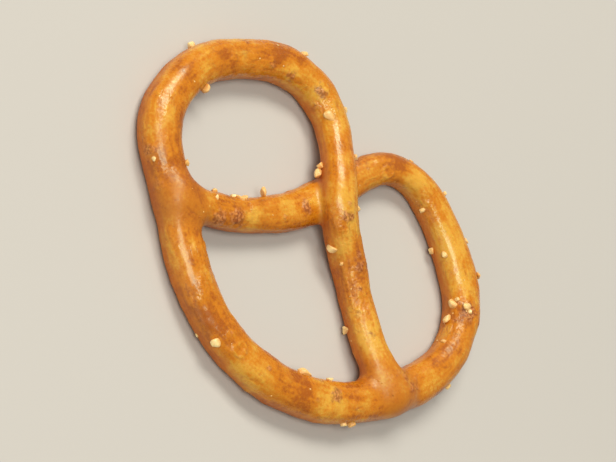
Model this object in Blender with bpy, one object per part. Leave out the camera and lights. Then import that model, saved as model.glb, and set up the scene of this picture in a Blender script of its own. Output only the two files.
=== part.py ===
"""A small hard-baked twisted pretzel, 70 mm long, lying on its flat underside.

One strand of dough makes the whole of it. It starts on the right of the bottom
arc (end A), runs up through the middle, crosses over the other end's strand,
turns the left lobe, comes down the left shoulder, makes the bottom arc, turns
the right lobe, passes under the crossing and ends on the left shoulder (end B).
The two ends and the crossing are baked into what they touch, so it is one body
with three holes: the left lobe, the right lobe and the bottom hole.

Metres, +Z up, +X along the length, the bottom arc towards -Y. The origin is
under the middle, on the surface that the pretzel lies on.
"""

import math

import bmesh
import bpy
import numpy as np
from mathutils import Vector

MM = 0.001

# ---- driving dimensions, mm -------------------------------------------------
SIDES = 18  # corners of the strand's section
RING_SPACING = 2.3  # along the strand
SQUARENESS = 2.25  # 2 is an ellipse; a little more gives the baked strand's fuller shoulders
UNDERSIDE_CUT = 0.42  # how much of the round section the oven belt has flattened
TABLE = (110.0, 90.0, 12.0)  # the block that flattens the underside

# Landmarks of the strand, in order from end A to end B, mm:
# name, x, y, clearance of the strand above the surface, width, height.
LANDMARKS = (
    ("end A, baked on to the bottom arc", 23.7, -10.4, 1.5, 5.3, 4.9),
    ("end A foot", 17.7, -7.0, 0.9, 5.6, 5.0),
    ("end A lower run", 13.0, -2.1, 0.2, 5.5, 5.0),
    ("end A upper run", 6.8, 3.0, 0.9, 5.4, 5.1),
    ("over the crossing", 0.2, 8.7, 3.0, 5.7, 5.2),
    ("left lobe, inner side", -3.3, 16.6, 1.8, 5.2, 4.9),
    ("left lobe, crown", -8.0, 21.7, 0.3, 5.7, 5.2),
    ("left lobe, top", -14.7, 22.5, 0.0, 6.1, 5.5),
    ("left lobe, upper run", -22.7, 18.5, 0.0, 6.1, 5.5),
    ("left lobe, upper corner", -28.7, 12.6, 0.0, 6.1, 5.6),
    ("left lobe, outer side", -31.5, 5.3, 0.0, 6.4, 5.8),
    ("left lobe, lower corner", -30.4, -1.7, 0.0, 6.5, 5.8),
    ("left shoulder", -25.3, -7.5, 0.0, 6.3, 5.6),
    ("bottom arc, left flank", -18.2, -14.5, 0.0, 6.1, 5.5),
    ("bottom arc, left corner", -10.2, -20.2, 0.0, 6.2, 5.5),
    ("bottom arc, middle", 1.3, -22.5, 0.0, 6.4, 5.6),
    ("bottom arc, right corner", 12.9, -19.7, 0.0, 6.5, 5.6),
    ("bottom arc, right flank", 21.9, -13.3, 0.0, 6.3, 5.6),
    ("right lobe, lower corner", 28.4, -5.6, 0.0, 6.5, 5.6),
    ("right lobe, outer side", 31.7, 2.6, 0.0, 5.8, 5.5),
    ("right lobe, upper corner", 30.0, 11.4, 0.0, 6.0, 5.5),
    ("right lobe, upper run", 22.0, 18.9, 0.0, 5.6, 5.2),
    ("right lobe, top", 14.5, 22.3, 0.0, 5.1, 5.0),
    ("right lobe, crown", 7.8, 20.9, 0.0, 5.1, 4.9),
    ("right lobe, inner side", 3.2, 15.0, 0.0, 5.7, 4.7),
    ("under the crossing", -1.6, 6.9, 0.0, 6.3, 4.6),
    ("end B upper run", -8.2, -0.4, 0.1, 5.4, 4.8),
    ("end B lower run", -15.4, -5.6, 0.6, 5.2, 4.8),
    ("end B, baked on to the left shoulder", -23.3, -9.0, 1.5, 5.3, 4.9),
)

CRUST = (0.58, 0.235, 0.045, 1.0)


def clear_scene():
    for obj in list(bpy.data.objects):
        bpy.data.objects.remove(obj, do_unlink=True)


def spline(knots, values, at):
    """A natural cubic spline through values at knots, read at the places in at."""
    knots, values, at = (np.asarray(a, float) for a in (knots, values, at))
    step = np.diff(knots)
    slope = np.diff(values, axis=0) / step[:, None]
    n = len(knots)
    left, right = np.eye(n), np.zeros(values.shape)
    for i in range(1, n - 1):
        left[i, i - 1], left[i, i + 1] = step[i - 1], step[i]
        left[i, i] = 2 * (step[i - 1] + step[i])
        right[i] = 6 * (slope[i] - slope[i - 1])
    bend = np.linalg.solve(left, right)
    k = np.clip(np.searchsorted(knots, at, side="right") - 1, 0, n - 2)
    u = (at - knots[k])[:, None]
    w = (knots[k + 1] - at)[:, None]
    h = step[k][:, None]
    return (
        (bend[k] * w**3 + bend[k + 1] * u**3) / (6 * h)
        + (values[k] / h - bend[k] * h / 6) * w
        + (values[k + 1] / h - bend[k + 1] * h / 6) * u
    )


def strand(spacing):
    """The strand read every `spacing` mm: middle line (n, 3), width and height."""
    marks = np.array([row[1:] for row in LANDMARKS], float)
    knots = np.concatenate([[0.0], np.cumsum(np.hypot(*np.diff(marks[:, :2], axis=0).T))])
    places = np.linspace(0.0, knots[-1], int(round(knots[-1] / spacing)) + 1)
    read = spline(knots, marks, places)
    x, y, clear, width, height = read.T
    middle = np.maximum(clear, 0.0) + height / 2 - UNDERSIDE_CUT
    return np.stack([x, y, middle], axis=1), width, height


def section(sides):
    """A rounded section of width and height 2, as (across, up) pairs."""
    points = []
    for i in range(sides):
        angle = 2 * math.pi * (i + 0.5) / sides
        c, s = math.cos(angle), math.sin(angle)
        r = (abs(c) ** SQUARENESS + abs(s) ** SQUARENESS) ** (-1 / SQUARENESS)
        points.append((r * c, r * s))
    return points


def sweep(name, middle, width, height, profile):
    """The profile carried along the middle line, with a round nose at each end."""
    along = np.gradient(middle, axis=0)
    along /= np.linalg.norm(along, axis=1)[:, None]
    rings = [(middle[i], along[i], width[i], height[i]) for i in range(len(middle))]
    # Each nose is a quarter-round: rings that shrink as they go out past the end.
    for end, sign in ((0, -1), (-1, 1)):
        at, way, w, h = rings[end]
        nose = [
            (at + sign * way * 0.5 * w * math.sin(a), way, w * math.cos(a), h * math.cos(a))
            for a in (math.radians(30), math.radians(55), math.radians(75))
        ]
        rings = nose[::-1] + rings if sign < 0 else rings + nose

    bm = bmesh.new()
    loops = []
    for at, way, w, h in rings:
        across = Vector((way[1], -way[0], 0.0)).normalized()
        up = across.cross(Vector(way)).normalized()
        loops.append(
            [
                bm.verts.new((Vector(at) + across * (p * w / 2) + up * (q * h / 2)) * MM)
                for p, q in profile
            ]
        )
    for near, far in zip(loops, loops[1:]):
        for i in range(len(profile)):
            j = (i + 1) % len(profile)
            bm.faces.new((near[i], near[j], far[j], far[i]))
    bm.faces.new(loops[0])
    bm.faces.new(list(reversed(loops[-1])))
    bmesh.ops.recalc_face_normals(bm, faces=bm.faces)
    mesh = bpy.data.meshes.new(name)
    bm.to_mesh(mesh)
    bm.free()
    obj = bpy.data.objects.new(name, mesh)
    bpy.context.scene.collection.objects.link(obj)
    return obj


def table_block(name):
    """The block whose top is the surface that the pretzel lies on."""
    bm = bmesh.new()
    bmesh.ops.create_cube(bm, size=1.0)
    for vert in bm.verts:
        vert.co.x *= TABLE[0] * MM
        vert.co.y *= TABLE[1] * MM
        vert.co.z = (vert.co.z - 0.5) * TABLE[2] * MM
    mesh = bpy.data.meshes.new(name)
    bm.to_mesh(mesh)
    bm.free()
    obj = bpy.data.objects.new(name, mesh)
    bpy.context.scene.collection.objects.link(obj)
    obj.hide_render = True
    obj.display_type = "WIRE"
    return obj


def crust_material():
    material = bpy.data.materials.new("baked_crust")
    material.use_nodes = True
    shader = material.node_tree.nodes["Principled BSDF"]
    shader.inputs["Base Color"].default_value = CRUST
    shader.inputs["Roughness"].default_value = 0.34
    shader.inputs["Metallic"].default_value = 0.0
    material.diffuse_color = CRUST
    return material


def main():
    clear_scene()
    middle, width, height = strand(RING_SPACING)
    pretzel = sweep("pretzel", middle, width, height, section(SIDES))
    table = table_block("underside_cutter")

    # The cut flattens the underside. The sweep passes through itself at the
    # crossing and at both ends, and the same cut resolves it into one skin.
    flatten = pretzel.modifiers.new("flat underside", "BOOLEAN")
    flatten.operation = "DIFFERENCE"
    flatten.solver = "EXACT"
    flatten.use_self = True
    flatten.object = table

    pretzel.data.materials.append(crust_material())
    pretzel.data.shade_smooth()


main()
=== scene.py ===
import math

import bmesh
import bpy
import numpy as np
from mathutils import Matrix, Vector


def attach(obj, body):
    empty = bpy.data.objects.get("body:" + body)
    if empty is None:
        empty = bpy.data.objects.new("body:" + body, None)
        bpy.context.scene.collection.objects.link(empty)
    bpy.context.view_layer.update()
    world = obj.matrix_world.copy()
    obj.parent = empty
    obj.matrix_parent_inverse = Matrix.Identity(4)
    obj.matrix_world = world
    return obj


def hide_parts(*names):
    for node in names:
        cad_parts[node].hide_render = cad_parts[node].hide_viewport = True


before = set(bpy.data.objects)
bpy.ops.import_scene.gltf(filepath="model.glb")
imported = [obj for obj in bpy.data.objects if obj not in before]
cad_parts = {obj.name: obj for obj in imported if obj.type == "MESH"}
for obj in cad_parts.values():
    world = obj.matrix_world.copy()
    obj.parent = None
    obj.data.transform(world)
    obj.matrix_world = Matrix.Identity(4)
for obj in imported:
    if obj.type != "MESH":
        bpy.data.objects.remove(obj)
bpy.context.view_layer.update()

MM = 0.001
NODE = "pretzel"

# =============================================================================
# The strand, as in the solid: name, x, y, clearance, width, height, in mm
# =============================================================================
SQUARENESS = 2.25
UNDERSIDE_CUT = 0.42
STEP = 0.4
LANDMARKS = (
    ("end A, baked on to the bottom arc", 23.7, -10.4, 1.5, 5.3, 4.9),
    ("end A foot", 17.7, -7.0, 0.9, 5.6, 5.0),
    ("end A lower run", 13.0, -2.1, 0.2, 5.5, 5.0),
    ("end A upper run", 6.8, 3.0, 0.9, 5.4, 5.1),
    ("over the crossing", 0.2, 8.7, 3.0, 5.7, 5.2),
    ("left lobe, inner side", -3.3, 16.6, 1.8, 5.2, 4.9),
    ("left lobe, crown", -8.0, 21.7, 0.3, 5.7, 5.2),
    ("left lobe, top", -14.7, 22.5, 0.0, 6.1, 5.5),
    ("left lobe, upper run", -22.7, 18.5, 0.0, 6.1, 5.5),
    ("left lobe, upper corner", -28.7, 12.6, 0.0, 6.1, 5.6),
    ("left lobe, outer side", -31.5, 5.3, 0.0, 6.4, 5.8),
    ("left lobe, lower corner", -30.4, -1.7, 0.0, 6.5, 5.8),
    ("left shoulder", -25.3, -7.5, 0.0, 6.3, 5.6),
    ("bottom arc, left flank", -18.2, -14.5, 0.0, 6.1, 5.5),
    ("bottom arc, left corner", -10.2, -20.2, 0.0, 6.2, 5.5),
    ("bottom arc, middle", 1.3, -22.5, 0.0, 6.4, 5.6),
    ("bottom arc, right corner", 12.9, -19.7, 0.0, 6.5, 5.6),
    ("bottom arc, right flank", 21.9, -13.3, 0.0, 6.3, 5.6),
    ("right lobe, lower corner", 28.4, -5.6, 0.0, 6.5, 5.6),
    ("right lobe, outer side", 31.7, 2.6, 0.0, 5.8, 5.5),
    ("right lobe, upper corner", 30.0, 11.4, 0.0, 6.0, 5.5),
    ("right lobe, upper run", 22.0, 18.9, 0.0, 5.6, 5.2),
    ("right lobe, top", 14.5, 22.3, 0.0, 5.1, 5.0),
    ("right lobe, crown", 7.8, 20.9, 0.0, 5.1, 4.9),
    ("right lobe, inner side", 3.2, 15.0, 0.0, 5.7, 4.7),
    ("under the crossing", -1.6, 6.9, 0.0, 6.3, 4.6),
    ("end B upper run", -8.2, -0.4, 0.1, 5.4, 4.8),
    ("end B lower run", -15.4, -5.6, 0.6, 5.2, 4.8),
    ("end B, baked on to the left shoulder", -23.3, -9.0, 1.5, 5.3, 4.9),
)

# The surface, mm
VOXEL = 0.25  # the fine skin's mesh size
MELT_CROSSING = 1.1  # how far the strands have baked together where they cross
MELT_ENDS = 2.6  # and where an end lies on the arc
APART = 14.0  # two stretches further apart along the strand than this are different strands

# Places on the strand: distance along it in mm, and the angle round it in
# degrees (0 is its right-hand side on the way from end A, 90 is its top).
# Blisters: along, round, radius, height, how brown.
BLISTERS = (
    (215, 72, 1.3, 0.14, 1.0),
    (27.6, 100, 1.1, 0.12, 0.9),
    (29.2, 92, 0.7, 0.08, 0.6),
    (19.7, 100, 1.0, 0.14, 1.0),
    (22, 88, 0.8, 0.1, 0.8),
    (12.6, 136, 0.7, 0.08, 0.5),
    (16.2, 112, 0.8, 0.1, 0.6),
    (47.8, 112, 1.1, 0.12, 0.9),
    (46, 152, 0.7, 0.08, 0.5),
    (54.6, 132, 1.1, 0.1, 0.7),
    (59, 112, 0.9, 0.1, 0.6),
    (66.5, 96, 0.9, 0.1, 0.5),
    (64.5, 84, 0.7, 0.08, 0.5),
    (88, 20, 1.3, 0.1, 0.7),
    (93, 28, 1.1, 0.1, 0.6),
    (137.7, 104, 1.2, 0.12, 0.9),
    (141.2, 76, 0.9, 0.08, 0.5),
    (151.7, 124, 1.6, 0.14, 0.8),
    (153, 96, 1.5, 0.12, 0.8),
    (149.5, 80, 0.9, 0.08, 0.4),
    (170.6, 144, 0.9, 0.1, 0.6),
    (172.6, 108, 1.5, 0.16, 1.0),
    (168, 119, 0.8, 0.08, 0.4),
    (198, 144, 1, 0.08, 0.5),
    (221.6, 88, 1.1, 0.1, 0.8),
    (226.5, 116, 0.8, 0.08, 0.5),
    (235.6, 112, 1.4, 0.14, 0.9),
    (238.8, 128, 1.4, 0.14, 0.95),
    (232.5, 84, 0.8, 0.08, 0.4),
)
# Where the crust is paler: partly a lighter bake, partly painted light where the strand is to look more brightly lit:
# along, round, radius, how pale.
PALER_AND_PAINTED_LIGHT = (
    (2, 128, 2.0, 0.5),
    (8.5, 124, 2.6, 1.0),
    (24.5, 128, 2.0, 1.0),
    (35, 112, 2.6, 0.9),
    (29.5, 110, 3.2, 0.8),
    (31, 84, 4.0, 0.8),
    (14, 96, 4.0, 0.35),
    (26, 100, 4.0, 0.4),
    (42, 104, 4.5, 0.6),
    (190, 104, 4.0, 0.6),
    (48.5, 119, 2.2, 0.9),
    (55, 116, 1.5, 0.6),
    (72, 96, 2.0, 0.5),
    (83, 84, 2.6, 0.55),
    (137, 76, 2.6, 0.9),
    (144, 80, 2.0, 0.5),
    (160, 114, 4.0, 0.15),
    (178, 128, 2.5, 1.0),
    (183, 132, 3.0, 1.0),
    (187, 128, 2.0, 1.0),
    (196, 112, 2.0, 0.5),
    (206, 96, 2.0, 0.5),
    (219, 84, 2.4, 0.9),
    (225.5, 92, 2.0, 0.7),
    (232, 124, 2.5, 0.6),
)
# Where the crust is darker: partly a darker bake, partly painted shade where the strand is to look less lit: along,
# round, radius, how dark.
DARKER_AND_PAINTED_SHADE = (
    (60, 100, 4.5, 0.30),
    (67, 118, 3.5, 0.45),
    (75, 44, 3.5, 0.60),
    (88, 112, 5.0, 0.45),
    (131, 100, 3.5, 0.35),
    (147, 96, 5.0, 0.10),
    (201, 96, 4.0, 0.35),
    (209, 106, 7.0, 0.80),
    (229, 80, 3.5, 0.35),
    (237, 110, 3.0, 0.40),
    (134, 96, 5.0, 0.25),
    (142, 104, 5.0, 0.15),
    (204, 84, 4.0, 0.25),
    (57, 84, 3.0, 0.15),
)
# Where the glaze is smooth, and where it is rugged (minus): along, round, radius, how much.
GLAZED = (
    (76, 78, 7.0, 1.0),
    (88, 84, 5.0, 0.6),
    (36, 96, 7.0, 0.8),
    (8, 90, 4.0, 0.6),
    (150, 92, 5.5, 0.8),
    (160, 100, 5.5, 0.9),
    (166, 100, 3.5, 0.6),
    (184, 90, 9.0, 0.9),
    (15, 110, 4.0, -1.0),
    (60, 100, 5.0, -0.7),
    (46, 110, 4.0, -0.5),
    (171, 100, 4.0, -0.6),
    (237, 120, 4.0, -0.6),
)
# Where the crust is dull: along, round, radius, how dull.
DULL = (
    (7, 100, 5.0, 0.8),
    (15, 100, 6.0, 1.0),
    (23, 100, 5.0, 0.9),
    (85, 60, 5.0, 0.5),
    (98, 90, 6.0, 0.4),
    (166, 100, 5.5, 0.9),
    (205, 96, 8.0, 0.7),
    (232, 110, 6.0, 0.5),
)
# A burst bubble leaves a low ring: along, round, radius.
RINGS = ((13.9, 112, 1.35), (48.2, 95, 0.8), (119.0, 75, 1.0), (203.0, 110, 0.9))

# Salt: along, round, size, how flat it lies, how proud it stands (0 to 1)
GRAINS = (
    (73.3, 163, 1.6, 0.75, 0.70),
    (42.8, 131, 1.9, 0.50, 0.40),
    (43.8, 18, 1.3, 0.90, 0.60),
    (33.9, -152, 2.0, 0.75, 0.80),
    (34.9, -160, 1.3, 0.80, 0.85),
    (90.5, 140, 1.3, 0.80, 0.65),
    (28.4, 35, 1.1, 0.80, 0.50),
    (228.0, 14, 1.3, 1.25, 0.95),
    (232.8, 26, 1.5, 0.55, 0.60),
    (234.0, 34, 1.6, 0.55, 0.50),
    (235.4, 26, 1.1, 0.70, 0.55),
    (239.8, 60, 1.0, 0.70, 0.45),
    (23.6, 172, 1.6, 0.75, 0.65),
    (131.7, 152, 1.9, 0.65, 0.70),
    (133.0, 158, 1.2, 0.75, 0.60),
    (137.7, 154, 1.2, 0.75, 0.65),
    (140.5, 14, 1.2, 0.80, 0.60),
    (142.1, 12, 1.5, 0.75, 0.65),
    (173.7, 158, 1.8, 0.65, 0.50),
    (174.6, 144, 1.0, 0.80, 0.45),
    (173.4, 116, 1.6, 0.65, 0.45),
    (172.6, 104, 0.9, 0.80, 0.45),
)
MORE_GRAINS = 26  # on the sides that face away
SPECKS = 60

# =============================================================================
# Camera: the photograph's view of the twist, from its lower left, rolled so that
# the twist's length runs up the picture as it does in the photograph
# =============================================================================
AZIMUTH = 229.0
ELEVATION = 48.0
ROLL = 16.0  # straight up lies this far above the picture's right-hand side
DISTANCE = 450.0
AIM = (2.56, 4.88, 0.0)  # where the camera's middle line met the plane the twist lies on, mm
CENTRE = (-1.54, 0.19)  # moved along the picture to bring the twist to the middle, mm
SCALE = 3.7 * 1.78  # px per mm at the aim point
PICTURE_W = 616


def camera_axes():
    """The picture's right and up, and the way back to the camera."""
    az, el, roll = (math.radians(a) for a in (AZIMUTH, ELEVATION, ROLL))
    back = Vector((math.cos(el) * math.cos(az), math.cos(el) * math.sin(az), math.sin(el)))
    level = Vector((-math.sin(az), math.cos(az), 0.0))
    plumb = back.cross(level)
    right = level * math.sin(roll) + plumb * math.cos(roll)
    upward = plumb * math.sin(roll) - level * math.cos(roll)
    return right, upward, back


# =============================================================================
# Noise and small helpers
# =============================================================================
class Noise:
    """Gradient noise in three dimensions, about -1 to 1, the same each run."""

    def __init__(self, seed):
        rng = np.random.default_rng(seed)
        order = rng.permutation(256)
        self.order = np.concatenate([order, order])
        way = rng.normal(size=(256, 3))
        self.way = way / np.linalg.norm(way, axis=1)[:, None]

    def __call__(self, p):
        cell = np.floor(p).astype(np.int64)
        f = p - cell
        cell &= 255
        ease = f * f * f * (f * (f * 6 - 15) + 10)
        total = np.zeros(len(p))
        for dx in (0, 1):
            for dy in (0, 1):
                for dz in (0, 1):
                    d = np.array([dx, dy, dz])
                    c = (cell + d) & 255
                    h = self.order[self.order[self.order[c[:, 0]] + c[:, 1]] + c[:, 2]]
                    w = np.prod(np.where(d, ease, 1 - ease), axis=1)
                    total += w * (self.way[h] * (f - d)).sum(axis=1)
        return total * 1.7


def smooth(low, high, x):
    t = np.clip((x - low) / (high - low), 0, 1)
    return t * t * (3 - 2 * t)


def spline(knots, values, at):
    """A natural cubic spline through values at knots, read at the places in at."""
    knots, values, at = (np.asarray(a, float) for a in (knots, values, at))
    step = np.diff(knots)
    slope = np.diff(values, axis=0) / step[:, None]
    n = len(knots)
    left, right = np.eye(n), np.zeros(values.shape)
    for i in range(1, n - 1):
        left[i, i - 1], left[i, i + 1] = step[i - 1], step[i]
        left[i, i] = 2 * (step[i - 1] + step[i])
        right[i] = 6 * (slope[i] - slope[i - 1])
    bend = np.linalg.solve(left, right)
    k = np.clip(np.searchsorted(knots, at, side="right") - 1, 0, n - 2)
    u = (at - knots[k])[:, None]
    w = (knots[k + 1] - at)[:, None]
    h = step[k][:, None]
    return (
        (bend[k] * w**3 + bend[k + 1] * u**3) / (6 * h)
        + (values[k] / h - bend[k] * h / 6) * w
        + (values[k + 1] / h - bend[k + 1] * h / 6) * u
    )


class Strand:
    """The strand's middle line with its section, and the distance to its skin."""

    def __init__(self):
        marks = np.array([row[1:] for row in LANDMARKS], float)
        knots = np.concatenate([[0.0], np.cumsum(np.hypot(*np.diff(marks[:, :2], axis=0).T))])
        self.n = int(round(knots[-1] / STEP)) + 1
        self.s = np.linspace(0.0, knots[-1], self.n)
        self.ds = self.s[1]
        x, y, clear, width, height = spline(knots, marks, self.s).T
        # Rolled dough is never even: the strand swells, thins and wanders a little.
        along = np.stack([self.s / 7.5, self.s * 0 + 3.3, self.s * 0 + 8.1], axis=1)
        swell = 0.035 * Noise(11)(along) + 0.02 * Noise(12)(along * 2.6) - 0.07 * np.exp(-(((self.s - 11) / 7) ** 2))
        wander = 0.14 * Noise(13)(along * 0.9) + 0.06 * Noise(14)(along * 2.2)
        low = np.maximum(clear, 0.0)
        mid = np.stack([x, y, low + height / 2 - UNDERSIDE_CUT], axis=1)
        self.way = self._unit(np.gradient(mid, axis=0))
        self.across = self._unit(np.stack([self.way[:, 1], -self.way[:, 0], 0 * x], axis=1))
        mid += self.across * wander[:, None]
        self.way = self._unit(np.gradient(mid, axis=0))
        self.across = self._unit(np.stack([self.way[:, 1], -self.way[:, 0], 0 * x], axis=1))
        self.up = np.cross(self.across, self.way)
        self.mid = mid
        self.w = width * (1 + swell) / 2
        self.h = height * (1 + swell * 0.5) / 2

    @staticmethod
    def _unit(v):
        return v / np.linalg.norm(v, axis=1)[:, None]

    def _branch(self, p, i):
        step = ((p - self.mid[i]) * self.way[i]).sum(axis=1) / self.ds
        t = np.clip(i + np.clip(step, -1, 1), 0, self.n - 1)
        a = np.minimum(t.astype(int), self.n - 2)
        f = (t - a)[:, None]
        mix = lambda q: q[a] * (1 - f) + q[a + 1] * f
        mid, way = mix(self.mid), self._unit(mix(self.way))
        across = self._unit(mix(self.across))
        up = np.cross(across, way)
        w = (self.w[a] * (1 - f[:, 0]) + self.w[a + 1] * f[:, 0])
        h = (self.h[a] * (1 - f[:, 0]) + self.h[a + 1] * f[:, 0])
        e = p - mid
        x, y, z = (e * across).sum(axis=1), (e * up).sum(axis=1), (e * way).sum(axis=1)
        rho = (np.abs(x / w) ** SQUARENESS + np.abs(y / h) ** SQUARENESS + np.abs(z / w) ** SQUARENESS) ** (1 / SQUARENESS)
        rho = np.maximum(rho, 1e-6)
        r = np.sqrt(x * x + y * y + z * z)
        return r * (1 - 1 / rho), t * self.ds, np.arctan2(y / h, x / w)

    def read(self, p):
        """Distance to the skin, place along and round the nearer strand, and how near the next strand is."""
        out = []
        for part in np.array_split(p, max(1, len(p) // 4000)):
            gap = ((part[:, None] - self.mid[None]) ** 2).sum(axis=2)
            i = gap.argmin(axis=1)
            far = np.abs(np.arange(self.n)[None] - i[:, None]) * self.ds > APART
            j = np.where(far, gap, 1e9).argmin(axis=1)
            d1, s1, a1 = self._branch(part, i)
            d2, s2, a2 = self._branch(part, j)
            swap = (d2 < d1)[:, None]
            near = np.where(swap, np.stack([d2, s2, a2], 1), np.stack([d1, s1, a1], 1))
            other = np.where(swap, np.stack([d1, s1, a1], 1), np.stack([d2, s2, a2], 1))
            length = self.s[-1]
            tip = np.minimum.reduce([near[:, 1], length - near[:, 1], other[:, 1], length - other[:, 1]])
            melt = MELT_CROSSING + (MELT_ENDS - MELT_CROSSING) * (1 - smooth(5.0, 11.0, tip))
            mix = np.clip(0.5 + 0.5 * (other[:, 0] - near[:, 0]) / melt, 0, 1)
            d = other[:, 0] * (1 - mix) + near[:, 0] * mix - melt * mix * (1 - mix)
            out.append(np.column_stack([d, near[:, 1], near[:, 2], 4 * mix * (1 - mix)]))
        return np.concatenate(out).T

    def skin(self, along, angle):
        """The point on the plain skin at a place along and round the strand."""
        t = np.clip(along / self.ds, 0, self.n - 1.001)
        a = int(t)
        f = t - a
        mix = lambda q: q[a] * (1 - f) + q[a + 1] * f
        c, s = math.cos(angle), math.sin(angle)
        r = (abs(c) ** SQUARENESS + abs(s) ** SQUARENESS) ** (-1 / SQUARENESS)
        return mix(self.mid) + mix(self.across) * r * c * mix(self.w) + mix(self.up) * r * s * mix(self.h)


def link(obj):
    bpy.context.scene.collection.objects.link(obj)
    return obj


# =============================================================================
# The pretzel's skin
# =============================================================================
def rough_tube(strand, sides=36):
    """The swept strand, passing through itself, as the remesh takes it."""
    rings = [(strand.mid[i], i, 1.0) for i in range(strand.n)]
    nose = [math.radians(a) for a in (15, 30, 45, 60, 72, 82)]
    head = [(strand.mid[0] - strand.way[0] * strand.w[0] * math.sin(a), 0, math.cos(a)) for a in nose]
    tail = [(strand.mid[-1] + strand.way[-1] * strand.w[-1] * math.sin(a), strand.n - 1, math.cos(a)) for a in nose]
    rings = head[::-1] + rings + tail
    angle = np.linspace(0, 2 * math.pi, sides, endpoint=False)
    c, s = np.cos(angle), np.sin(angle)
    r = (np.abs(c) ** SQUARENESS + np.abs(s) ** SQUARENESS) ** (-1 / SQUARENESS)
    points = np.concatenate(
        [
            at + k * (strand.across[i] * (r * c * strand.w[i])[:, None] + strand.up[i] * (r * s * strand.h[i])[:, None])
            for at, i, k in rings
        ]
    )
    m = len(rings)
    faces = [
        (i * sides + j, i * sides + (j + 1) % sides, (i + 1) * sides + (j + 1) % sides, (i + 1) * sides + j)
        for i in range(m - 1)
        for j in range(sides)
    ]
    faces.append(tuple(range(sides))[::-1])
    faces.append(tuple(range((m - 1) * sides, m * sides)))
    mesh = bpy.data.meshes.new("rough_tube")
    mesh.from_pydata((points * MM).tolist(), [], faces)
    mesh.update()
    bm = bmesh.new()
    bm.from_mesh(mesh)
    bmesh.ops.recalc_face_normals(bm, faces=bm.faces)
    bm.to_mesh(mesh)
    bm.free()
    return mesh


def remeshed(mesh):
    """One closed even skin round everything."""
    obj = link(bpy.data.objects.new("skin_blank", mesh))
    mod = obj.modifiers.new("skin", "REMESH")
    mod.mode = "VOXEL"
    mod.voxel_size = VOXEL * MM
    mod.adaptivity = 0.0
    graph = bpy.context.evaluated_depsgraph_get()
    out = bpy.data.meshes.new_from_object(obj.evaluated_get(graph))
    bpy.data.objects.remove(obj, do_unlink=True)
    return out


class Skin:
    """Arrays of a mesh, with its normals and its smoothing."""

    def __init__(self, mesh):
        self.mesh = mesh
        n = len(mesh.vertices)
        co = np.empty(n * 3)
        mesh.vertices.foreach_get("co", co)
        self.p = co.reshape(-1, 3) / MM
        e = np.empty(len(mesh.edges) * 2, np.int64)
        mesh.edges.foreach_get("vertices", e)
        self.e = e.reshape(-1, 2)
        mesh.calc_loop_triangles()
        t = np.empty(len(mesh.loop_triangles) * 3, np.int64)
        mesh.loop_triangles.foreach_get("vertices", t)
        self.t = t.reshape(-1, 3)
        self.count = np.bincount(self.e.ravel(), minlength=n)[:, None]

    def normals(self):
        a, b, c = (self.p[self.t[:, k]] for k in range(3))
        f = np.cross(b - a, c - a)
        n = np.stack(
            [sum(np.bincount(self.t[:, k], f[:, i], len(self.p)) for k in range(3)) for i in range(3)],
            axis=1,
        )
        return n / np.maximum(np.linalg.norm(n, axis=1), 1e-12)[:, None]

    def mean(self, q):
        """Each vertex's neighbours, averaged."""
        q = q.reshape(len(self.p), -1)
        total = np.stack(
            [
                np.bincount(self.e[:, 0], q[self.e[:, 1], i], len(q)) + np.bincount(self.e[:, 1], q[self.e[:, 0], i], len(q))
                for i in range(q.shape[1])
            ],
            axis=1,
        )
        return total / self.count

    def relax(self, times, keep_size=True):
        for _ in range(times):
            self.p += 0.55 * (self.mean(self.p) - self.p)
            if keep_size:
                self.p -= 0.57 * (self.mean(self.p) - self.p)

    def store(self):
        self.mesh.vertices.foreach_set("co", (self.p * MM).ravel())
        self.mesh.update()

    def attribute(self, name, values):
        kind = "FLOAT" if values.ndim == 1 else "FLOAT_VECTOR"
        made = self.mesh.attributes.new(name, kind, "POINT")
        made.data.foreach_set("value" if values.ndim == 1 else "vector", values.astype(np.float32).ravel())


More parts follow.
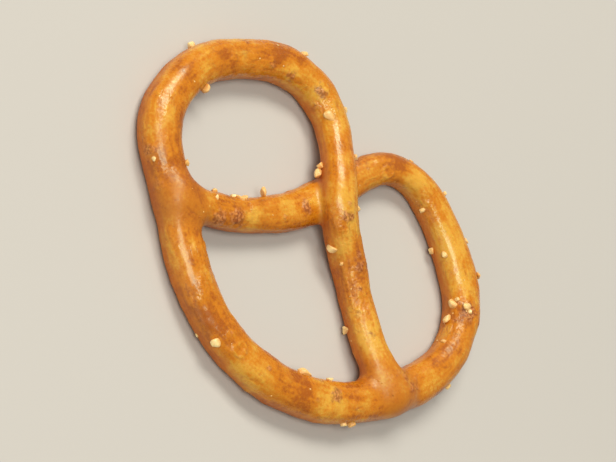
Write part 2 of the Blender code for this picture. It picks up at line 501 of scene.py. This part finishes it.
def build_skin(strand):
    skin = Skin(remeshed(rough_tube(strand)))
    skin.relax(4)
    for _ in range(4):
        d = strand.read(skin.p)[0]
        skin.p -= skin.normals() * np.clip(d, -0.5, 0.5)[:, None]
        skin.relax(1)
    d, along, angle, seam = strand.read(skin.p)
    normal = skin.normals()
    p = skin.p.copy()

    # Coordinates that run with the strand, so that wrinkles do too.
    grain = np.stack([along, 2.8 * np.cos(angle), 2.8 * np.sin(angle)], axis=1)
    tips = np.minimum(along, strand.s[-1] - along)

    calm = 1 - 0.5 * smooth(0.2, 0.9, seam)
    patch = smooth(-0.10, 0.60, Noise(26)(p / 4.3))
    even = np.zeros(len(p))
    for s, a, r, k in GLAZED:
        near = np.exp(-((np.linalg.norm(p - strand.skin(s, math.radians(a)), axis=1) / r) ** 2))
        even = np.maximum(even, k * near)
        patch = patch * (1 - k * near) if k > 0 else patch + (1 - patch) * -k * near
    bend = 0.15 * Noise(21)(p / 5.2) + (0.035 * (1 - 0.6 * even) + 0.07 * patch) * Noise(22)(p / 2.3)
    lumps = 0.034 * (1 - 0.8 * even) * Noise(23)(p / 1.15)
    # Long wrinkles: creases with soft crowns between them, in patches.
    warp = np.stack([Noise(31)(p / 3.1), Noise(32)(p / 3.1), Noise(33)(p / 3.1)], axis=1)
    lines = Noise(24)(grain / (5.5, 0.62, 0.62) + 0.55 * warp)
    fine = Noise(25)(grain / (2.8, 0.34, 0.34) + 0.5 * warp)
    wrinkle = (1 - smooth(0.3, 0.9, seam)) * (0.14 + patch) * (0.072 * (0.45 - np.abs(lines) * 1.7) + 0.012 * fine)
    pores = Noise(27)(p / 0.62)
    pits = -0.05 * smooth(0.56, 0.90, pores)
    grit = (0.004 + 0.010 * patch) * Noise(28)(p / 0.42)

    brown = np.zeros(len(p))
    raised = np.zeros(len(p))
    rng = np.random.default_rng(5)
    spots = [(s, math.radians(a), r, h, b) for s, a, r, h, b in BLISTERS]
    # More of them at random round the strand, lower where the glaze is smooth. More of
    # them where the photograph doesn't look.
    for _ in range(70):
        s = rng.uniform(4, strand.s[-1] - 4)
        a = math.radians(rng.uniform(-40, 220))
        calm_by = max(k * math.exp(-((np.linalg.norm(strand.skin(s, a) - strand.skin(g, math.radians(b))) / r) ** 2)) for g, b, r, k in GLAZED)
        spots.append((s, a, rng.uniform(0.35, 0.95), rng.uniform(0.03, 0.11) * (1 - max(calm_by, 0)), rng.uniform(0.1, 0.75)))
    ragged = Noise(41)(p / 1.1) + 0.5 * Noise(44)(p / 0.55)
    crackle = Noise(42)(p / 0.5)
    for s, a, r, h, b in spots:
        gap = np.linalg.norm(p - strand.skin(s, a), axis=1)
        near = gap < 2.6 * r
        d = gap[near] / r * (1 + 0.45 * ragged[near])
        dome = 1 - smooth(0.35, 1.15, d)
        raised[near] = np.maximum(raised[near], dome * h * (1 + 0.55 * crackle[near]))
        brown[near] = np.maximum(brown[near], b * (1 - smooth(0.25, 1.7, d)))
    # The paler and darker places: partly the bake's own tone, partly painted light and shade.
    golden = np.zeros(len(p))
    for s, a, r, k in PALER_AND_PAINTED_LIGHT:
        gap = np.linalg.norm(p - strand.skin(s, math.radians(a)), axis=1)
        golden = np.maximum(golden, k * np.exp(-((gap * (1 + 0.25 * ragged) / r) ** 2)))
    darker = np.zeros(len(p))
    for s, a, r, k in DARKER_AND_PAINTED_SHADE:
        gap = np.linalg.norm(p - strand.skin(s, math.radians(a)), axis=1)
        darker = np.maximum(darker, k * np.exp(-((gap * (1 + 0.25 * ragged) / r) ** 2)))
    dull = np.zeros(len(p))
    for s, a, r, k in DULL:
        gap = np.linalg.norm(p - strand.skin(s, math.radians(a)), axis=1)
        dull = np.maximum(dull, k * np.exp(-((gap * (1 + 0.2 * ragged) / r) ** 2)))
    for s, a, r in RINGS:
        gap = np.linalg.norm(p - strand.skin(s, math.radians(a)), axis=1)
        d = gap + 0.20 * ragged
        raised += 0.15 * (0.7 + 0.8 * crackle) * np.exp(-(((d - r) / 0.24) ** 2)) - 0.05 * np.exp(-((d / (0.7 * r)) ** 2))
        brown = np.maximum(brown, 0.45 * np.exp(-(((d - r * 1.25) / 0.35) ** 2)))

    push = bend + calm * (lumps + wrinkle + pits + grit) + raised
    # The underside took the belt's flat face, with a fine dry grain.
    under = smooth(0.45, 0.0, p[:, 2])
    push *= 1 - 0.9 * under * smooth(0.0, -0.6, normal[:, 2])
    skin.p = p + normal * push[:, None]
    z = skin.p[:, 2]
    edge = 0.16
    skin.p[:, 2] = np.where(z > edge, z, edge * np.exp(np.clip((z - edge) / edge, -30, 0)))
    low = skin.p[:, 2] < 0.12
    skin.p[low, 2] += 0.03 * (0.5 + 0.5 * Noise(43)(p[low] / 0.5)) * 0.5
    skin.store()

    tone = 1.05 * Noise(51)(p / 6.5) + 0.40 * Noise(52)(p / 2.6) + 0.22 * (1 - seam) * Noise(53)(grain / (5.0, 0.9, 0.9))
    # Painted light and shade in part: the paler and darker places raise and lower the crust's tone.
    tone = tone * (1 - 0.6 * golden) + 1.4 * golden - 1.0 * darker - 0.04
    skin.attribute("strand", grain * MM)
    skin.attribute("brown", np.clip(brown, 0, 1))
    skin.attribute("tone", tone)
    skin.attribute("rugged", patch)
    skin.attribute("dull", dull)
    skin.attribute("under", under * smooth(-0.2, -0.8, normal[:, 2]))
    # Painted shade: how far a point faces sideways or down; the crust's colour is darkened and deepened there (and its
    # roughness raised).
    skin.attribute("flank", smooth(0.45, -0.35, normal[:, 2]))
    skin.attribute("crease", np.clip(seam, 0, 1))
    # Painted light and shade: the height of the small relief, which the crust's colour lightens on crowns and darkens
    # in hollows.
    skin.attribute("relief", np.clip(push - bend, -0.2, 0.3) / 0.1)
    return skin


# =============================================================================
# Salt
# =============================================================================
def chip(rng, size, flat):
    """One grain: a worn block, uneven all over, with a few faces broken flat."""
    bm = bmesh.new()
    bmesh.ops.create_icosphere(bm, subdivisions=3 if size > 0.5 else 2, radius=1.0)
    points = np.array([v.co for v in bm.verts])
    faces = np.array([[v.index for v in f.verts] for f in bm.faces])
    bm.free()
    points /= ((np.abs(points) ** 3.2).sum(axis=1) ** (1 / 3.2))[:, None]
    lump = Noise(int(rng.integers(1, 100000)))
    points *= 1 + 0.18 * lump(points * 0.9 + 5.5)[:, None] + 0.03 * lump(points * 2.6 + 9.1)[:, None]
    for _ in range(11):
        way = rng.normal(size=3)
        way /= np.linalg.norm(way)
        past = points @ way - rng.uniform(0.60, 0.90)
        points -= np.maximum(past, 0.0)[:, None] * way * 0.94
    shape = np.array([rng.uniform(0.95, 1.15), rng.uniform(0.7, 0.95), flat * rng.uniform(0.85, 1.05)]) * size / 2
    return points * shape, faces


def scatter(name, skin, strand, places, seed):
    """Chips set into the skin at their places, all in one mesh."""
    rng = np.random.default_rng(seed)
    normal = skin.normals()
    points, faces, shade, sunk, total = [], [], [], [], 0
    for s, a, size, flat, proud in places:
        target = strand.skin(s, math.radians(a))
        i = int(((skin.p - target) ** 2).sum(axis=1).argmin())
        up = Vector(normal[i])
        q, f = chip(rng, size, flat)
        turn = up.to_track_quat("Z", "Y").to_matrix()
        turn = turn @ Matrix.Rotation(rng.uniform(0, 2 * math.pi), 3, "Z")
        turn = turn @ Matrix.Rotation(rng.normal() * 0.2, 3, "X") @ Matrix.Rotation(rng.normal() * 0.2, 3, "Y")
        reach = flat * size * 0.45
        q = q @ np.array(turn).T + skin.p[i] + normal[i] * reach * (2 * proud - 1)
        points.append(q)
        faces.append(f + total)
        shade.append(np.full(len(q), rng.uniform(-1, 1)))
        sunk.append(1 - smooth(0.0, 2 * reach * proud, (q - skin.p[i]) @ normal[i]))
        total += len(q)
    mesh = bpy.data.meshes.new(name)
    mesh.from_pydata((np.concatenate(points) * MM).tolist(), [], np.concatenate(faces).tolist())
    mesh.update()
    for key, values in (("shade", shade), ("sunk", sunk)):
        made = mesh.attributes.new(key, "FLOAT", "POINT")
        made.data.foreach_set("value", np.concatenate(values).astype(np.float32))
    for poly in mesh.polygons:
        poly.use_smooth = True
    return link(bpy.data.objects.new(name, mesh))


def grain_places(strand):
    rng = np.random.default_rng(77)
    places = [tuple(g) for g in GRAINS]
    while len(places) < len(GRAINS) + MORE_GRAINS:
        s = rng.uniform(3, strand.s[-1] - 3)
        a = rng.choice([rng.uniform(-35, 40), rng.uniform(150, 215)])
        p = strand.skin(s, math.radians(a))
        if p[2] < 1.2 or min(np.linalg.norm(p - strand.skin(g[0], math.radians(g[1]))) for g in places) < 2.2:
            continue
        places.append((s, a, rng.uniform(0.8, 1.6), rng.uniform(0.55, 0.9), rng.uniform(0.4, 0.75)))
    return places


def speck_places(strand, grains):
    rng = np.random.default_rng(78)
    places = []
    while len(places) < SPECKS:
        if rng.random() < 0.55:
            g = grains[rng.integers(len(grains))]
            s = float(np.clip(g[0] + rng.normal() * 1.3, 2, strand.s[-1] - 2))
            a = g[1] + rng.normal() * 22
        else:
            s, a = rng.uniform(2, strand.s[-1] - 2), rng.uniform(-40, 220)
        if strand.skin(s, math.radians(a))[2] < 0.8:
            continue
        places.append((s, a, rng.uniform(0.18, 0.36), rng.uniform(0.5, 0.9), rng.uniform(0.3, 0.55)))
    return places


# =============================================================================
# Materials
# =============================================================================
class Nodes:
    """Short ways to add and join a material's nodes."""

    def __init__(self, name):
        self.material = bpy.data.materials.new(name)
        self.material.use_nodes = True
        self.tree = self.material.node_tree
        self.shader = self.tree.nodes["Principled BSDF"]

    def add(self, kind, **settings):
        node = self.tree.nodes.new(kind)
        for key, value in settings.items():
            setattr(node, key, value)
        return node

    def join(self, source, target):
        self.tree.links.new(source, target)

    def put(self, socket, value):
        if isinstance(value, bpy.types.NodeSocket):
            self.join(value, socket)
        else:
            socket.default_value = value

    def attribute(self, name, output="Fac"):
        return self.add("ShaderNodeAttribute", attribute_name=name).outputs[output]

    def math(self, how, a, b=0.0, clamp=False):
        node = self.add("ShaderNodeMath", operation=how, use_clamp=clamp)
        self.put(node.inputs[0], a)
        self.put(node.inputs[1], b)
        return node.outputs[0]

    def span(self, value, low, high, to_low=0.0, to_high=1.0):
        node = self.add("ShaderNodeMapRange", interpolation_type="SMOOTHSTEP")
        self.put(node.inputs["Value"], value)
        for key, v in (("From Min", low), ("From Max", high), ("To Min", to_low), ("To Max", to_high)):
            node.inputs[key].default_value = v
        return node.outputs["Result"]

    def mix(self, factor, a, b, how="MIX"):
        node = self.add("ShaderNodeMix", data_type="RGBA", blend_type=how)
        self.put(node.inputs[0], factor)
        self.put(node.inputs[6], a)
        self.put(node.inputs[7], b)
        return node.outputs[2]

    def noise(self, where, scale, detail=3.0, rough=0.55, stretch=(1, 1, 1)):
        place = self.add("ShaderNodeVectorMath", operation="MULTIPLY")
        self.join(where, place.inputs[0])
        place.inputs[1].default_value = stretch
        node = self.add("ShaderNodeTexNoise")
        self.join(place.outputs[0], node.inputs["Vector"])
        node.inputs["Scale"].default_value = scale
        node.inputs["Detail"].default_value = detail
        node.inputs["Roughness"].default_value = rough
        return node.outputs["Fac"]


def rgb(r, g, b):
    """A colour given as it looks on a screen, 0 to 255, as the shader takes it."""
    line = lambda c: c / 12.92 if c <= 0.04045 else ((c + 0.055) / 1.055) ** 2.4
    return tuple(line(c / 255) for c in (r, g, b)) + (1.0,)


GOLD = rgb(219, 161, 56)
AMBER = rgb(203, 121, 20)
RUST = rgb(168, 88, 17)
# Painted shade: a deeper orange-brown for the strand's sides.
FLANK_SHADE = rgb(194, 90, 9)
MAUVE = rgb(138, 64, 27)
TAN = rgb(204, 130, 74)
DRY = rgb(190, 134, 62)


def crust():
    n = Nodes("baked_crust")
    object_space = n.add("ShaderNodeTexCoord").outputs["Object"]
    strand_space = n.attribute("strand", "Vector")
    tone = n.attribute("tone")
    brown = n.attribute("brown")
    under = n.attribute("under")
    relief = n.attribute("relief")
    crease = n.attribute("crease")
    flank = n.attribute("flank")

    cloud = n.noise(object_space, 400, 5, 0.68)
    streak = n.noise(strand_space, 1700, 1.5, 0.5, (0.2, 1, 1))
    dust = n.noise(object_space, 2600, 3, 0.65)
    pebble = n.noise(object_space, 2300, 1, 0.5)
    # Fine cracks in the glaze, long ones with the strand, here and there.
    place = n.add("ShaderNodeVectorMath", operation="MULTIPLY")
    n.join(strand_space, place.inputs[0])
    place.inputs[1].default_value = (0.3, 1, 1)
    cells = n.add("ShaderNodeTexVoronoi", feature="DISTANCE_TO_EDGE")
    n.join(place.outputs[0], cells.inputs["Vector"])
    cells.inputs["Scale"].default_value = 1000
    crack = n.span(cells.outputs["Distance"], 0.10, 0.0)
    crack = n.math("MULTIPLY", crack, n.span(n.noise(object_space, 260, 2, 0.5), 0.54, 0.68))

    # Golden where the level is high, amber over most of it, rust where it is low. The level holds the bake's tone with
    # its painted light and shade, painted light and shade from the relief, and painted shade on the strand's sides.
    level = n.math("ADD", n.math("MULTIPLY", tone, 0.66), n.math("MULTIPLY", n.math("SUBTRACT", cloud, 0.5), 2.0))
    # The lengthwise streaks and cracks stop where two strands meet.
    one = n.math("SUBTRACT", 1.0, crease)
    crack = n.math("MULTIPLY", crack, one)
    level = n.math("ADD", level, n.math("MULTIPLY", n.math("MULTIPLY", n.math("SUBTRACT", streak, 0.5), one), 1.25))
    level = n.math("ADD", level, n.math("MULTIPLY", n.math("SUBTRACT", pebble, 0.5), 0.95))
    # Painted light and shade: crowns of the small relief are painted lighter, its hollows darker.
    level = n.math("ADD", level, n.math("MULTIPLY", relief, 0.25))
    # Painted shade: the strand's sides are darkened.
    level = n.math("SUBTRACT", level, n.math("MULTIPLY", flank, 0.16))
    colour = n.mix(n.span(level, -0.10, 0.85), AMBER, GOLD)
    colour = n.mix(n.span(level, 0.0, -0.75), colour, RUST)
    # Painted shade: the sides are turned a deeper orange-brown.
    colour = n.mix(n.math("MULTIPLY", flank, 0.62), colour, FLANK_SHADE)
    # Blisters are duller and browner, with a broken edge.
    broken = n.noise(object_space, 1250, 4, 0.62)
    patch = n.span(n.math("ADD", brown, n.math("MULTIPLY", n.math("SUBTRACT", broken, 0.5), 1.6)), 0.28, 0.90, 0.0, 0.80)
    mottle = n.span(n.noise(object_space, 2100, 2, 0.5), 0.44, 0.62)
    colour = n.mix(patch, colour, n.mix(mottle, MAUVE, TAN))
    # Painted shade: the crust is darkened towards rust in the valleys where two strands have baked together.
    colour = n.mix(n.math("MULTIPLY", crease, 0.28), colour, RUST)
    colour = n.mix(n.math("MULTIPLY", crack, 0.24), colour, MAUVE)
    speck = n.span(n.noise(object_space, 1500, 2, 0.5), 0.66, 0.76)
    colour = n.mix(n.math("MULTIPLY", speck, 0.35), colour, MAUVE)
    colour = n.mix(n.math("MULTIPLY", under, 0.75), colour, DRY)
    n.join(colour, n.shader.inputs["Base Color"])

    rough = n.math("ADD", n.span(dust, 0.3, 0.7, 0.22, 0.31), n.math("MULTIPLY", patch, 0.18))
    rough = n.math("ADD", rough, n.math("MULTIPLY", n.math("MAXIMUM", flank, n.math("MULTIPLY", crease, 0.35)), 0.36))
    rough = n.math("ADD", rough, n.math("MULTIPLY", n.attribute("dull"), 0.16))
    rough = n.math("ADD", rough, n.math("MULTIPLY", under, 0.35), True)
    n.join(rough, n.shader.inputs["Roughness"])

    height = n.math("ADD", n.math("MULTIPLY", n.math("MULTIPLY", streak, one), 0.6), n.math("MULTIPLY", pebble, 0.48))
    height = n.math("ADD", height, n.math("MULTIPLY", n.noise(object_space, 1150, 1, 0.5), 0.7))
    height = n.math("SUBTRACT", height, n.math("MULTIPLY", crack, 0.4))
    height = n.math("ADD", height, n.math("MULTIPLY", n.math("MULTIPLY", patch, mottle), 0.5))
    # The glaze is smooth in some places and rugged in others.
    height = n.math("MULTIPLY", height, n.math("ADD", n.math("MULTIPLY", n.attribute("rugged"), 0.90), n.math("ADD", n.math("MULTIPLY", n.attribute("dull"), 0.3), 0.18)))
    bump = n.add("ShaderNodeBump")
    bump.inputs["Strength"].default_value = 0.6
    bump.inputs["Distance"].default_value = 0.00025
    n.join(height, bump.inputs["Height"])
    n.join(bump.outputs["Normal"], n.shader.inputs["Normal"])

    n.shader.inputs["IOR"].default_value = 1.46
    n.shader.inputs["Specular IOR Level"].default_value = 0.70
    n.shader.inputs["Specular Tint"].default_value = (0.68, 1.0, 0.76, 1)
    n.shader.inputs["Subsurface Weight"].default_value = 0.12
    n.shader.inputs["Subsurface Radius"].default_value = (1.0, 0.45, 0.12)
    n.shader.inputs["Subsurface Scale"].default_value = 0.0008
    return n.material


def salt():
    n = Nodes("salt_grain")
    object_space = n.add("ShaderNodeTexCoord").outputs["Object"]
    shade = n.attribute("shade")
    cloud = n.noise(object_space, 1400, 3, 0.6)
    level = n.math("ADD", n.math("MULTIPLY", shade, 0.3), cloud)
    colour = n.mix(n.span(level, 0.15, 0.85), rgb(236, 186, 110), rgb(252, 222, 154))
    colour = n.mix(n.math("MULTIPLY", n.attribute("sunk"), 0.6), colour, rgb(216, 148, 60))
    n.join(colour, n.shader.inputs["Base Color"])
    n.join(n.span(cloud, 0.3, 0.7, 0.32, 0.6), n.shader.inputs["Roughness"])
    bump = n.add("ShaderNodeBump")
    bump.inputs["Strength"].default_value = 0.5
    bump.inputs["Distance"].default_value = 0.00008
    n.join(n.noise(object_space, 4200, 3, 0.6), bump.inputs["Height"])
    n.join(bump.outputs["Normal"], n.shader.inputs["Normal"])
    n.shader.inputs["IOR"].default_value = 1.54
    n.shader.inputs["Subsurface Weight"].default_value = 0.35
    n.shader.inputs["Subsurface Radius"].default_value = (1.0, 0.9, 0.7)
    n.shader.inputs["Subsurface Scale"].default_value = 0.0005
    return n.material


def floor_material():
    n = Nodes("pale_floor")
    object_space = n.add("ShaderNodeTexCoord").outputs["Object"]
    cloud = n.noise(object_space, 6, 2, 0.5)
    n.join(n.mix(cloud, (0.51, 0.485, 0.43, 1), (0.55, 0.525, 0.47, 1)), n.shader.inputs["Base Color"])
    n.shader.inputs["Roughness"].default_value = 0.6
    return n.material


# =============================================================================
# Stage
# =============================================================================
def stage():
    bm = bmesh.new()
    bmesh.ops.create_grid(bm, x_segments=1, y_segments=1, size=2.0)
    mesh = bpy.data.meshes.new("floor")
    bm.to_mesh(mesh)
    bm.free()
    floor = link(bpy.data.objects.new("floor", mesh))
    floor.location.z = -0.00004
    floor.data.materials.append(floor_material())

    right, upward, back = camera_axes()
    aim = Vector((0.0, 0.0, 2.5)) * MM

    def lamp(name, way, far, size, power, colour):
        data = bpy.data.lights.new(name, "AREA")
        data.shape = "RECTANGLE"
        data.size, data.size_y = size
        data.energy = power
        data.color = colour
        obj = link(bpy.data.objects.new(name, data))
        way = way.normalized()
        side = (right - way * right.dot(way)).normalized()
        turn = Matrix((side, way.cross(side), way)).transposed().to_4x4()
        obj.matrix_world = Matrix.Translation(aim + way * far) @ turn
        return obj

    lamp("key", right * 0.40 + upward * 0.75 + back * 0.52, 1.50, (0.84, 0.48), 18.1, (1.0, 0.97, 0.92))
    lamp("front", right * 0.28 + upward * 0.10 + back * 0.95, 2.00, (0.88, 0.88), 19.6, (1.0, 0.985, 0.96))
    lamp("fill", right * -0.45 + upward * -0.40 + back * 0.80, 2.00, (1.30, 1.30), 4.4, (1.0, 0.975, 0.93))

    world = bpy.data.worlds.new("studio")
    world.use_nodes = True
    world.node_tree.nodes["Background"].inputs["Color"].default_value = (1.0, 0.965, 0.89, 1)
    world.node_tree.nodes["Background"].inputs["Strength"].default_value = 0.28
    bpy.context.scene.world = world
    view = bpy.context.scene.view_settings
    view.view_transform = "Standard"
    view.look = "None"

    data = bpy.data.cameras.new("camera")
    data.sensor_width = 36.0
    data.sensor_fit = "HORIZONTAL"
    data.lens = 36.0 * SCALE * DISTANCE / PICTURE_W
    data.clip_start, data.clip_end = 0.01, 20
    camera = link(bpy.data.objects.new("camera", data))
    turn = Matrix((right, upward, back)).transposed().to_4x4()
    spot = Vector(AIM) + back * DISTANCE + right * CENTRE[0] + upward * CENTRE[1]
    camera.matrix_world = Matrix.Translation(spot * MM) @ turn
    bpy.context.scene.camera = camera


def main():
    strand = Strand()
    skin = build_skin(strand)
    pretzel = link(bpy.data.objects.new("pretzel_crust", skin.mesh))
    skin.mesh.name = "pretzel_crust"
    skin.mesh.materials.clear()
    skin.mesh.materials.append(crust())
    skin.mesh.shade_smooth()
    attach(pretzel, "root")
    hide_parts(NODE)

    grains = grain_places(strand)
    white = salt()
    for name, places, seed in (("salt_grains", grains, 91), ("salt_specks", speck_places(strand, grains), 92)):
        piece = scatter(name, skin, strand, places, seed)
        piece.data.materials.append(white)
        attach(piece, "root")
    stage()


main()
